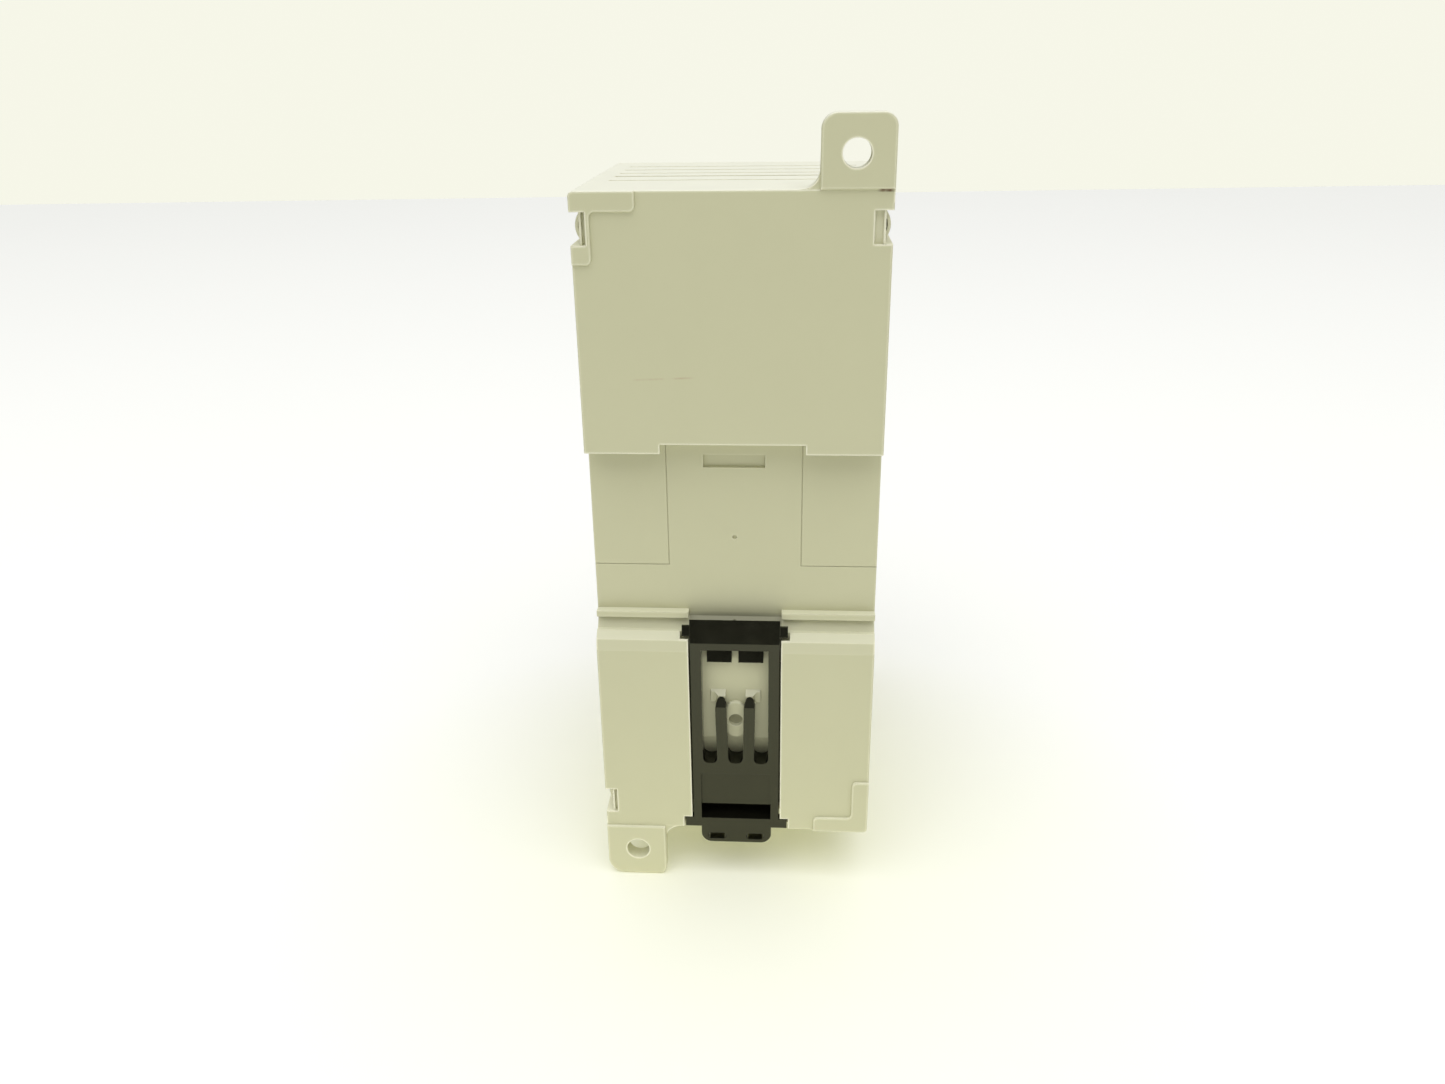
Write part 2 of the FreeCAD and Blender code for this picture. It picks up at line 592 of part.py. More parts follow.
def cover_openings():
    """Everything cut through the front cover."""
    front = FRONT_Y - 1
    gap = 0.15
    play = 0.3
    bus_play = 0.4
    door_seat = block(-22.4, 22.4, front, FRONT_Y + SHELF_SINK, DOOR_Z[0] - 0.2, DOOR_Z[1] + 0.2)
    header_gap = block(HEADER_X0 - bus_play, MAIN_BOARD_X + bus_play, BAY_FLOOR_Y - 1, BAY_FLOOR_Y + 2,
                       HEADER_Z[0] - play, HEADER_Z[1] + play)
    lamp_gap = block(LAMP_X[0] - gap, LAMP_X[1] + gap, front, FRONT_Y + WALL + 1,
                     LAMP_Z[0] - gap, LAMP_Z[1] + gap)
    bus_gap = block(HALF_W - WALL - 1, HALF_W + 1, BUS_Y[0] - bus_play, BUS_Y[1] + bus_play,
                    BUS_Z[0] - bus_play, BUS_Z[1] + bus_play)
    hinge = rod(HINGE_PIN_R + HINGE_GAP, (HINGE_X, HINGE_Y, PIN_Z[0] - 0.2), Z_AXIS,
                PIN_Z[1] - PIN_Z[0] + 0.6)
    screws = [rod(1.3, (BLOCK_SCREW_X, BAY_FLOOR_Y - 3, z), Y_AXIS, 8.0) for z in BLOCK_SCREW_Z]
    vents = [block(-21.0, 21.0, y - 0.6, y + 0.6, z - 3, z + 3)
             for y in (-56.0, -61.0) for z in (-FRONT_HALF_H, FRONT_HALF_H)]
    return [door_seat, header_gap, lamp_gap, hinge] + lever_track() + both_sides(bus_gap) + screws + vents


def front_cover():
    flange = soften(block(-HALF_W, HALF_W, SHOULDER_Y, SPLIT_Y, -HALF_H, HALF_H), CORNER_R, Y_AXIS)
    nose = block(-HALF_W, HALF_W, FRONT_Y, SHOULDER_Y, -FRONT_HALF_H, FRONT_HALF_H)
    nose = soften(nose, 1.2, Y_AXIS)
    nose = soften_face(nose, 1.0, FRONT_Y)
    inner_x = HALF_W - WALL
    inner_z = FRONT_HALF_H - WALL
    cavity = block(-inner_x, inner_x, FRONT_Y + WALL, SPLIT_Y + 1, -inner_z, inner_z)
    cover = join([flange, nose]).cut(cavity)
    half = 3.5
    bosses = [block(BLOCK_SCREW_X - half, BLOCK_SCREW_X + half, BAY_FLOOR_Y - 2.5, BAY_FLOOR_Y + 1.0,
                    z - half, z + half) for z in BLOCK_SCREW_Z]
    sockets = [block(HINGE_X - 1.6, HALF_W - 1, FRONT_Y + 0.5, FRONT_Y + 3.8, z, z + 2.2)
               for z in (-FRONT_HALF_H + 0.6, DOOR_Z[1] + 0.2)]
    hooks = []
    for z in (-SNAP_Z, SNAP_Z):
        hooks += both_sides(snap_hook(z))
    cover = join([cover.cut(bay_room()), terminal_bay()] + bosses + sockets + hooks)
    return cover.cut(cover_openings())


# ---- terminal door ----
def terminal_door():
    panel = block(-22.2, HINGE_X, FRONT_Y, FRONT_Y + DOOR_T, *DOOR_Z)
    panel = soften(panel, 0.8, Y_AXIS, lambda p: p.x < 0)
    panel = soften_face(panel, EDGE_R, FRONT_Y, lambda p: p.x < HINGE_X - LAP)
    edge = rod(DOOR_T / 2, (HINGE_X, HINGE_Y, DOOR_Z[0]), Z_AXIS, DOOR_Z[1] - DOOR_Z[0])
    pin = rod(HINGE_PIN_R, (HINGE_X, HINGE_Y, PIN_Z[0]), Z_AXIS, PIN_Z[1] - PIN_Z[0])
    grip = block(-23.0, -20.6, FRONT_Y - 1, FRONT_Y + 0.9, -18.0, -6.0)
    x, (z0, z1) = DOOR_LABEL_X, DOOR_LABEL_Z
    label_seat = block(-x - 0.2, x + 0.2, FRONT_Y - 1, FRONT_Y + 0.3, z0 - 0.2, z1 + 0.2)
    return join([panel, edge, pin]).cut([grip, label_seat])


def door_label():
    return rounded_block(-DOOR_LABEL_X, DOOR_LABEL_X, FRONT_Y + 0.05, FRONT_Y + 0.3, *DOOR_LABEL_Z,
                         0.8, Y_AXIS)


def side_label():
    gap = 0.2
    return block(HALF_W - LABEL_T, HALF_W - 0.05, LABEL_Y[0] + gap, LABEL_Y[1] - gap,
                 LABEL_Z[0] + gap, LABEL_Z[1] - gap)


# ---- removable terminal block ----
def terminal_block():
    """Two steps of screw terminals, with a barrier between neighbours and an ear at each end."""
    left_y, right_y = [top for _, top in COLUMNS]
    base = rounded_block(*BLOCK_X, -76.5, BLOCK_REAR_Y, *BLOCK_Z, 1.5, Y_AXIS)
    left = block(BLOCK_X[0], STEP_X, left_y, BLOCK_REAR_Y, *ROWS_END_Z)
    right = block(STEP_X - 0.5, BLOCK_X[1], right_y, BLOCK_REAR_Y, *ROWS_END_Z)
    body = join([base, left, right])
    cuts = []
    for x, top in COLUMNS:
        for z in ROW_Z:
            cuts.append(block(x - 4.0, x + 3.4, top - 1, top + 4.5, z - 2.7, z + 2.7))
            cuts.append(block(x - 8.0, x - 3.0, top + 2.6, top + 4.5, z - 1.6, z + 1.6))
            cuts.append(rod(SCREW_HOLE_R, (x, top, z), Y_AXIS, 6.4))
    for x in PIN_X:
        cuts.append(block(x - 0.9, x + 0.9, -75.8, BLOCK_REAR_Y + 1, HEADER_Z[0] + 1, HEADER_Z[1] - 1))
    cuts += [rod(SCREW_HOLE_R, (BLOCK_SCREW_X, -78, z), Y_AXIS, 8) for z in BLOCK_SCREW_Z]
    return body.cut(cuts)


def slotted_screw(x, z, head_y, head_r, head_t, shank_r, shank_length):
    """Pan-head screw that points along +Y, with a cross-cut drive."""
    head = rod(head_r, (x, head_y, z), Y_AXIS, head_t)
    head = head.makeFillet(head_t * 0.35, [e for e in head.Edges if abs(e.CenterOfMass.y - head_y) < 0.01
                                           and not isinstance(e.Curve, Part.Line)])
    shank = rod(shank_r, (x, head_y + head_t - 0.1, z), Y_AXIS, shank_length + 0.1)
    depth = head_t * 0.55
    slot = block(x - head_r, x + head_r, head_y - 0.1, head_y + depth, z - 0.3, z + 0.3)
    cross = block(x - 0.3, x + 0.3, head_y - 0.1, head_y + depth, z - head_r * 0.6, z + head_r * 0.6)
    return head.fuse(shank).cut([slot, cross])


def terminal_screws():
    return group([slotted_screw(x, z, top + 0.3, 2.2, 1.4, 1.5, 4.4) for x, top in COLUMNS for z in ROW_Z])


def wire_clamps():
    clamps = []
    for x, top in COLUMNS:
        for z in ROW_Z:
            plate = rounded_block(x - 2.6, x + 2.6, top + 1.75, top + 2.55, z - 2.45, z + 2.45, 0.6, Y_AXIS)
            clamps.append(plate.cut(rod(SCREW_HOLE_R, (x, top, z), Y_AXIS, 4)))
    return group(clamps)


def terminal_contacts():
    """Plates that the clamped wires lie on, one in the floor of each terminal."""
    plates = []
    for x, top in COLUMNS:
        for z in ROW_Z:
            plate = block(x - 2.9, x + 3.2, top + 3.9, top + 4.5, z - 2.3, z + 2.3)
            plates.append(plate.cut(rod(SCREW_HOLE_R, (x, top, z), Y_AXIS, 6)))
    return group(plates)


def finger_guard():
    """Stepped cover over both rows, with a driver hole above each screw."""
    left_y, right_y = [top for _, top in COLUMNS]
    riser_x = STEP_X - 0.55
    left = block(BLOCK_X[0], riser_x, left_y - GUARD_T, left_y, *ROWS_END_Z)
    riser = block(riser_x - GUARD_T, riser_x, right_y - GUARD_T, left_y, *ROWS_END_Z)
    right = block(riser_x - 0.45, BLOCK_X[1], right_y - GUARD_T, right_y, *ROWS_END_Z)
    holes = [rod(DRIVER_HOLE_R, (x, top - 2, z), Y_AXIS, 3) for x, top in COLUMNS for z in ROW_Z]
    return join([left, riser, right]).cut(holes)


def block_retaining_screws():
    return group([slotted_screw(BLOCK_SCREW_X, z, -78.6, 3.0, 2.1, 1.25, 6.9) for z in BLOCK_SCREW_Z])


# ---- boards ----
def main_board():
    rear, half, nose_half = BOARD_REAR_Y, BOARD_HALF_H, BOARD_NOSE_HALF_H
    outline = [(rear, -half), (BOARD_STEP_Y, -half), (BOARD_STEP_Y, -nose_half), (-66, -nose_half), (-66, 33),
               (-78.9, 33), (-78.9, nose_half), (BOARD_STEP_Y, nose_half), (BOARD_STEP_Y, half), (rear, half)]
    return prism_x(outline, MAIN_BOARD_X, MAIN_BOARD_X + BOARD_T)


def io_board():
    rear, half, nose_half = BOARD_REAR_Y, BOARD_HALF_H, BOARD_NOSE_HALF_H
    outline = [(rear, -half), (BOARD_STEP_Y, -half), (BOARD_STEP_Y, -nose_half), (-65.5, -nose_half),
               (-65.5, 9), (rear, 9)]
    return prism_x(outline, IO_BOARD_X, IO_BOARD_X + BOARD_T)


def board_links():
    """Two stacking headers that join the boards."""
    links = []
    for z in (-50.0, -12.0):
        links.append(block(IO_BOARD_X + BOARD_T, MAIN_BOARD_X, -18.0, -12.0, z, z + 18.0))
    return group(links)


def led_board():
    return block(-0.5, 20.5, -80.6, -79.0, 35.0, 53.2)


def leds():
    return group([block(x - 0.8, x + 0.8, -81.4, -80.6, z - 0.5, z + 0.5) for x in LED_X for z in LED_Z])


def light_guide():
    plate = block(0.5, 19.5, -83.4, -82.6, 36.8, 51.2)
    bars = [block(x - 1.1, x + 1.1, -85.3, -83.3, z - 0.8, z + 0.8) for x in LED_X for z in LED_Z]
    return join([plate] + bars)


def status_window():
    return rounded_block(*LAMP_X, FRONT_Y, FRONT_Y + 1.6, *LAMP_Z, 0.5, Y_AXIS)


def terminal_header():
    """Shrouded header that stands through the bay floor."""
    body = block(HEADER_X0, MAIN_BOARD_X - 0.05, -72.0, -60.0, *HEADER_Z)
    wells = [block(x - 1.3, x + 1.3, -73.0, -70.0, HEADER_Z[0] + 1, HEADER_Z[1] - 1) for x in PIN_X]
    return body.cut(wells)


def header_pins():
    return group([rod(0.4, (x, -75.4, z), Y_AXIS, 5.4) for x in PIN_X for z in ROW_Z])


# ---- parts on the boards ----
def isolation_transformer():
    """Ferrite core around a wound bobbin."""
    x1 = MAIN_BOARD_X
    core = block(x1 - 12.0, x1 - 1.0, -32.0, -14.0, 18.0, 22.0)
    back = block(x1 - 12.0, x1 - 1.0, -32.0, -14.0, 32.0, 36.0)
    winding = rounded_block(x1 - 11.0, x1, -34.0, -12.0, 22.0, 32.0, 2.5, X_AXIS)
    return join([core, back, winding])


def capacitors():
    cans = []
    for y in (-20.0, -31.0, -42.0):
        can = rod(4.0, (MAIN_BOARD_X - 12.0, y, 46.0), X_AXIS, 12.0)
        rim = [e for e in can.Edges if e.CenterOfMass.x < MAIN_BOARD_X - 11.9
               and not isinstance(e.Curve, Part.Line)]
        cans.append(can.makeFillet(0.6, rim))
    return group(cans)


def lead_row(x0, x1, y0, y1, z, count, pitch):
    start = (y0 + y1) / 2 - pitch * (count - 1) / 2
    return [block(x0, x1, start + pitch * i - 0.15, start + pitch * i + 0.15, z - 0.7, z + 0.7)
            for i in range(count)]


def controller_chip():
    """Flat package with leads along two edges."""
    x1 = MAIN_BOARD_X
    body = block(x1 - 1.6, x1 - 0.1, -46.0, -34.0, 16.0, 28.0)
    leads = lead_row(x1 - 0.5, x1, -46.0, -34.0, 15.5, 12, 0.9)
    leads += lead_row(x1 - 0.5, x1, -46.0, -34.0, 28.5, 12, 0.9)
    return join([body] + leads)


def crystal():
    return rounded_block(MAIN_BOARD_X - 3.4, MAIN_BOARD_X, -54.5, -50.0, 16.0, 27.0, 2.2, X_AXIS)


def optocouplers():
    """Signal isolators between the field side and the logic side."""
    chips = []
    for i in range(8):
        z = -46.0 + 7.0 * i
        body = block(MAIN_BOARD_X - 3.6, MAIN_BOARD_X - 0.3, -44.0, -37.5, z - 2.3, z + 2.3)
        foot = block(MAIN_BOARD_X - 1.2, MAIN_BOARD_X, -43.0, -38.5, z - 2.7, z + 2.7)
        chips.append(join([body, foot]))
    return group(chips)


def relays():
    """Sealed output relays on the outer face of the input/output board."""
    cans = []
    for y in (-56.0, -30.0):
        for i in range(4):
            z = -44.0 + 14.5 * i
            cans.append(rounded_block(-21.3, IO_BOARD_X, y - 9.0, y + 9.0, z - 6.0, z + 6.0, 0.8, X_AXIS))
    return group(cans)


# ---- bus connectors and lever ----
def bus_socket(face_x, back_x):
    """Connector body with a contact slot in the face that meets the neighbouring module."""
    inward = math.copysign(1.0, back_x - face_x)
    margin_y, margin_z = BUS_SLOT_MARGIN
    body = soften(block(*span(face_x, back_x), *BUS_Y, *BUS_Z), 0.5, X_AXIS)
    slot = block(*span(face_x - inward, face_x + inward * BUS_SLOT_DEPTH), BUS_Y[0] + margin_y,
                 BUS_Y[1] - margin_y, BUS_Z[0] + margin_z, BUS_Z[1] - margin_z)
    return body.cut(slot)


def bus_contacts(face_x, inward):
    """Two rows of spring contacts standing in the connector's slot."""
    blades = []
    blade_t = 0.6
    margin_y = BUS_SLOT_MARGIN[0]
    x0, x1 = span(face_x + inward, face_x + inward * BUS_SLOT_DEPTH)
    for i in range(10):
        z = BUS_Z[0] + 4.0 + 2.0 * i
        for y in (BUS_Y[0] + margin_y, BUS_Y[1] - margin_y - blade_t):
            blades.append(block(x0, x1, y, y + blade_t, z - 0.4, z + 0.4))
    return group(blades)


def fixed_bus_connector():
    return bus_socket(FIXED_BUS_X, MAIN_BOARD_X + BOARD_T)


def fixed_bus_contacts():
    return bus_contacts(FIXED_BUS_X, -1.0)


def moving_bus_connector():
    return bus_socket(MOVING_BUS_X, -13.0)


def moving_bus_contacts():
    return bus_contacts(MOVING_BUS_X, 1.0)


def bus_lever():
    """Sliding thumb piece at the front, with an arm back to the moving connector."""
    z0, z1 = LEVER_Z
    neck_z0, neck_z1 = z0 + 2.1, z1 - 2.1
    knob = rounded_block(*LEVER_X, FRONT_Y, FRONT_Y + 1.1, z0, z1, 0.8, Y_AXIS)
    grips = [block(x - 0.3, x + 0.3, FRONT_Y - 1, FRONT_Y + 0.5, z0 + 1, z1 - 1) for x in (-11.0, -9.5, -8.0)]
    neck = block(*LEVER_NECK_X, FRONT_Y + 0.9, -58.0, neck_z0, neck_z1)
    foot = block(-15.5, LEVER_NECK_X[1], -62.0, -54.5, BUS_Z[1] + 0.05, neck_z1)
    return join([knob.cut(grips), neck, foot])


PARTS = (rear_housing, din_latch, front_cover, terminal_door, door_label, side_label, terminal_block,
         terminal_screws, wire_clamps, terminal_contacts, finger_guard, block_retaining_screws, main_board,
         io_board, board_links, led_board, leds, light_guide, status_window, terminal_header, header_pins,
         isolation_transformer, capacitors, controller_chip, crystal, optocouplers, relays,
         fixed_bus_connector, fixed_bus_contacts, moving_bus_connector, moving_bus_contacts, bus_lever)

os.makedirs("parts", exist_ok=True)
for part in PARTS:
    part().exportStep(os.path.join("parts", part.__name__ + ".step"))
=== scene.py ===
import math

import bpy
from mathutils import Matrix, Vector


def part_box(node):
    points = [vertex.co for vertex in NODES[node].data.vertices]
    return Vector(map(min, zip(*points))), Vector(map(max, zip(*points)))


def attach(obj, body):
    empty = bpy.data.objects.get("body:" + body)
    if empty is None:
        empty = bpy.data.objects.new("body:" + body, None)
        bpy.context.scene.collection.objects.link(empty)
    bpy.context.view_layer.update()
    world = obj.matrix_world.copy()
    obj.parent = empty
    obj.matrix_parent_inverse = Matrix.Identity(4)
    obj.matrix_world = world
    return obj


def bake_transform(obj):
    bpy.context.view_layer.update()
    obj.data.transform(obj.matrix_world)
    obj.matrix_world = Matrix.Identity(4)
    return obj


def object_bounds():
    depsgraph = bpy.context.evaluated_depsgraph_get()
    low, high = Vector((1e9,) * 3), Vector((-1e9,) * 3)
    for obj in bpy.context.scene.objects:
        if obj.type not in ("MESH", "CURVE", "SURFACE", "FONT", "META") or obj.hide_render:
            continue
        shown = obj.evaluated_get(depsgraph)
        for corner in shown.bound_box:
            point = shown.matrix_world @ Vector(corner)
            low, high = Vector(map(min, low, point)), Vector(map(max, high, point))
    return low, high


MM = 0.001
ROW_PITCH = 6.6 * MM           # from one terminal row to the next

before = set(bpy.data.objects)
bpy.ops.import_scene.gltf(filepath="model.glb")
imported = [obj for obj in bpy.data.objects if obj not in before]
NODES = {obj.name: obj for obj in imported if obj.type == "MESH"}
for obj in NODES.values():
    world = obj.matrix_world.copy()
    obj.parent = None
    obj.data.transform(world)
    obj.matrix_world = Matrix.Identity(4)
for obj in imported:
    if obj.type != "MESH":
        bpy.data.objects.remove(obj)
CAD_LOW, CAD_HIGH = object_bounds()


# ---- node helpers: every material is built from these ----
class Nodes:
    """A material's node tree with short calls for adding and linking nodes."""

    def __init__(self, name):
        self.material = bpy.data.materials.new(name)
        self.material.use_nodes = True
        self.tree = self.material.node_tree
        self.tree.nodes.clear()
        self.out = self.add("ShaderNodeOutputMaterial")
        self.shader = self.add("ShaderNodeBsdfPrincipled")
        self.link(self.shader.outputs["BSDF"], self.out.inputs["Surface"])
        self.coords = self.add("ShaderNodeTexCoord").outputs["Object"]

    def add(self, kind, **values):
        node = self.tree.nodes.new(kind)
        for key, value in values.items():
            setattr(node, key, value)
        return node

    def link(self, source, target):
        self.tree.links.new(source, target)

    def set(self, **inputs):
        """Values or sockets for the shader's inputs, by name."""
        for key, value in inputs.items():
            self.feed(self.shader.inputs[key.replace("_", " ")], value)

    def feed(self, socket, value):
        if isinstance(value, bpy.types.NodeSocket):
            self.link(value, socket)
        elif isinstance(value, (int, float)):
            socket.default_value = value
        else:
            socket.default_value = (*value, 1.0) if len(value) == 3 and socket.type == "RGBA" else value

    def noise(self, size_mm, detail=3.0, rough=0.55, stretch=(1, 1, 1)):
        """Noise with features about size_mm across, 0 to 1."""
        mapping = self.add("ShaderNodeMapping")
        self.link(self.coords, mapping.inputs["Vector"])
        mapping.inputs["Scale"].default_value = [1 / (size_mm * MM * s) for s in stretch]
        node = self.add("ShaderNodeTexNoise")
        node.inputs["Scale"].default_value = 1.0
        node.inputs["Detail"].default_value = detail
        node.inputs["Roughness"].default_value = rough
        self.link(mapping.outputs[0], node.inputs["Vector"])
        return node.outputs["Fac"]

    def ramp(self, value, low, high, out_low=0.0, out_high=1.0):
        """Carries low to high over to out_low to out_high, clamped at both ends."""
        node = self.add("ShaderNodeMapRange")
        node.clamp = True
        self.link(value, node.inputs["Value"])
        limits = {"From Min": low, "From Max": high, "To Min": out_low, "To Max": out_high}
        for key, number in limits.items():
            node.inputs[key].default_value = number
        return node.outputs["Result"]

    def maths(self, operation, *values):
        node = self.add("ShaderNodeMath", operation=operation)
        for socket, value in zip(node.inputs, values):
            self.feed(socket, value)
        return node.outputs[0]

    def mix(self, share, a, b):
        node = self.add("ShaderNodeMix", data_type="RGBA")
        self.feed(node.inputs["Factor"], share)
        self.feed(node.inputs["A"], a)
        self.feed(node.inputs["B"], b)
        return node.outputs["Result"]

    def axis(self, index):
        node = self.add("ShaderNodeSeparateXYZ")
        self.link(self.coords, node.inputs[0])
        return node.outputs[index]

    def edge_normal(self, radius_mm):
        """Normal rounded over edges, as a mould leaves them."""
        node = self.add("ShaderNodeBevel", samples=8)
        node.inputs["Radius"].default_value = radius_mm * MM
        return node.outputs["Normal"]

    def bump(self, height, depth_mm, normal, strength):
        node = self.add("ShaderNodeBump")
        node.inputs["Strength"].default_value = strength
        node.inputs["Distance"].default_value = depth_mm * MM
        self.link(height, node.inputs["Height"])
        if normal is not None:
            self.link(normal, node.inputs["Normal"])
        return node.outputs["Normal"]

    def facing_up(self):
        """How far the surface faces upward, 1 for level."""
        node = self.add("ShaderNodeSeparateXYZ")
        self.link(self.add("ShaderNodeNewGeometry").outputs["Normal"], node.inputs[0])
        return node.outputs["Z"]

    def openness(self, distance_mm, samples):
        """Ambient occlusion over a distance, 1 in the open."""
        node = self.add("ShaderNodeAmbientOcclusion", samples=samples)
        node.inputs["Distance"].default_value = distance_mm * MM
        return node.outputs["AO"]

    def edge(self, radius_mm):
        """1 where an edge is within the radius."""
        geometry = self.add("ShaderNodeNewGeometry")
        rounded = self.add("ShaderNodeBevel", samples=8)
        rounded.inputs["Radius"].default_value = radius_mm * MM
        dot = self.add("ShaderNodeVectorMath", operation="DOT_PRODUCT")
        self.link(rounded.outputs["Normal"], dot.inputs[0])
        self.link(geometry.outputs["True Normal"], dot.inputs[1])
        return self.ramp(dot.outputs["Value"], 0.9, 0.999, 1.0, 0.0)

    def wear(self, radius_mm):
        """1 where an edge is near, broken up by noise."""
        return self.maths("MULTIPLY", self.edge(radius_mm), self.ramp(self.noise(1.5, 4), 0.4, 0.7))

    def unshaded_edge(self, radius_mm):
        """1 where an edge is near that no other surface shades: the mask of the painted edge highlights."""
        return self.maths("MULTIPLY", self.edge(radius_mm), self.ramp(self.openness(0.5, 4), 0.75, 0.95))

    def crevice(self, distance_mm):
        """1 in corners and narrow gaps."""
        return self.ramp(self.openness(distance_mm, 8), 0.35, 0.95, 1.0, 0.0)

    def distance(self, value):
        """How far a signed length is from zero."""
        return self.maths("ABSOLUTE", value, 0.0)

    def window(self, value, low, high, soft):
        """1 between low and high in millimetres, fading to 0 over a soft margin inside them."""
        rise = self.ramp(value, low * MM, (low + soft) * MM)
        return self.maths("MULTIPLY", rise, self.ramp(value, (high - soft) * MM, high * MM, 1.0, 0.0))


# ---- materials ----
HOUSING = (0.605, 0.597, 0.395)
# paler colour painted on upward faces as painted light
HOUSING_TOP_LIT = (0.87, 0.87, 0.76)
# dark colour for crevices: painted shade and dirt
HOUSING_CREVICE_DARK = (0.36, 0.29, 0.16)
# pale colour painted on open edges as painted highlight
HOUSING_EDGE_LIT = (0.90, 0.88, 0.70)
SCRATCH = (0.49, 0.38, 0.24)
SMEAR = (0.20, 0.13, 0.07)
# paler colour painted inside the side grooves as painted light
GROOVE_LIT = (0.88, 0.87, 0.70)
# dark colour painted above the hook as painted shade
HOOK_SHADE = (0.26, 0.255, 0.18)


def housing_plastic():
    """Pale warm grey moulded plastic with fine grain and marks of age and use, and with painted light and
    shade: paler upward faces, pale edge highlights, paler side grooves, shade in crevices mixed with dirt,
    and shade above the hook.
    """
    n = Nodes("housing_plastic")
    x, y, z = (n.axis(i) for i in range(3))
    mottle = n.ramp(n.noise(14, 4), 0.35, 0.65)
    # painted shade in crevices and narrow gaps, broken up by noise as dirt
    crevice_shade_and_dirt = n.maths("MULTIPLY", n.crevice(0.35), n.ramp(n.noise(5, 5), 0.5, 0.75, 0.0, 0.4))
    color = n.mix(n.maths("MULTIPLY", mottle, 0.3), HOUSING, tuple(c * 0.97 for c in HOUSING))
    color = n.mix(crevice_shade_and_dirt, color, HOUSING_CREVICE_DARK)
    # painted light: upward faces paler, the top face most
    color = n.mix(painted_top_light(n, z), color, HOUSING_TOP_LIT)
    # painted highlight: pale edges where nothing shades them
    color = n.mix(painted_edge_highlight(n, y), color, HOUSING_EDGE_LIT)
    # painted light: paler colour inside the side grooves
    color = n.mix(painted_groove_light(n, x, y, z), color, GROOVE_LIT)
    # painted shade on the channel floor above the hook
    color = n.mix(painted_hook_shade(n, x, y, z), color, HOOK_SHADE)
    color = n.mix(scratch(n, x, y, z), color, SCRATCH)
    color = n.mix(lug_smear(n, x, y, z), color, SMEAR)
    rough = n.ramp(n.noise(3, 4), 0.3, 0.7, 0.46, 0.56)
    grain = n.bump(n.noise(0.22, 2), 0.008, n.edge_normal(0.15), 0.3)
    n.set(Base_Color=color, Roughness=rough, Normal=grain, Specular_IOR_Level=0.4)
    return n.material


def painted_top_light(n, z):
    """Painted light: paler colour on faces that look up, most of all on the top of the module."""
    top = n.ramp(z, 55.6 * MM, 55.9 * MM)
    return n.maths("MULTIPLY", n.ramp(n.facing_up(), 0.1, 0.95), n.maths("MULTIPLY_ADD", top, 0.62, 0.38))


def painted_edge_highlight(n, y):
    """Painted highlights on edges, fainter inside the rail channel and the latch pocket where they are
    shaded.
    """
    sheltered = 0.25
    rear = n.ramp(y, -1.4 * MM, -1.1 * MM, sheltered, 1.0)
    front = n.ramp(y, -6.5 * MM, -5.5 * MM, 1.0, sheltered)
    return n.maths("MULTIPLY", n.unshaded_edge(0.6), n.maths("MAXIMUM", rear, front))


def painted_groove_light(n, x, y, z):
    """Painted light: paler plastic inside the side grooves."""
    groove = n.window(n.distance(z), 50.7, 56.0, 0.05)
    groove = n.maths("MULTIPLY", groove, n.ramp(n.distance(x), 21.9 * MM, 22.1 * MM))
    groove = n.maths("MULTIPLY", groove, n.ramp(y, -0.75 * MM, -0.6 * MM, 1.0, 0.0))
    return n.maths("MULTIPLY", groove, n.ramp(y, -46.0 * MM, -44.0 * MM, 0.0, 0.5))


def painted_hook_shade(n, x, y, z):
    """Painted shade on the channel floor just above the latch's hook, where the hook slides."""
    across = n.ramp(n.distance(x), 8.3 * MM, 8.4 * MM, 0.7, 0.0)
    patch = n.maths("MULTIPLY", across, n.window(z, -17.5, -14.6, 0.8))
    return n.maths("MULTIPLY", patch, n.ramp(y, -3.0 * MM, -2.8 * MM, 1.0, 0.0))


def rear_surface(n, y):
    """1 on the rear face and the lugs, 0 further in."""
    return n.ramp(y, -3.0 * MM, -1.0 * MM)


def scratch(n, x, y, z):
    """A long faint scratch, nearly level, on the rear face."""
    slope, height_mm = 0.039, 29.96
    line_z = n.maths("SUBTRACT", n.maths("MULTIPLY_ADD", x, slope, z), height_mm * MM)
    thin = n.ramp(n.distance(line_z), 0.05 * MM, 0.22 * MM, 0.55, 0.0)
    along = n.maths("MULTIPLY", n.window(x, 6.0, 16.4, 1.5), n.ramp(n.noise(3, 3), 0.42, 0.6, 0.1, 1.0))
    return n.maths("MULTIPLY", n.maths("MULTIPLY", thin, along), rear_surface(n, y))


def lug_smear(n, x, y, z):
    """A dark smear at the outer root of the upper lug."""
    patch = n.maths("MULTIPLY", n.window(x, -25.0, -22.2, 0.8), n.window(z, 58.55, 59.15, 0.15))
    broken = n.maths("MULTIPLY", patch, n.ramp(n.noise(0.8, 3), 0.3, 0.55, 0.5, 1.0))
    return n.maths("MULTIPLY", broken, rear_surface(n, y))


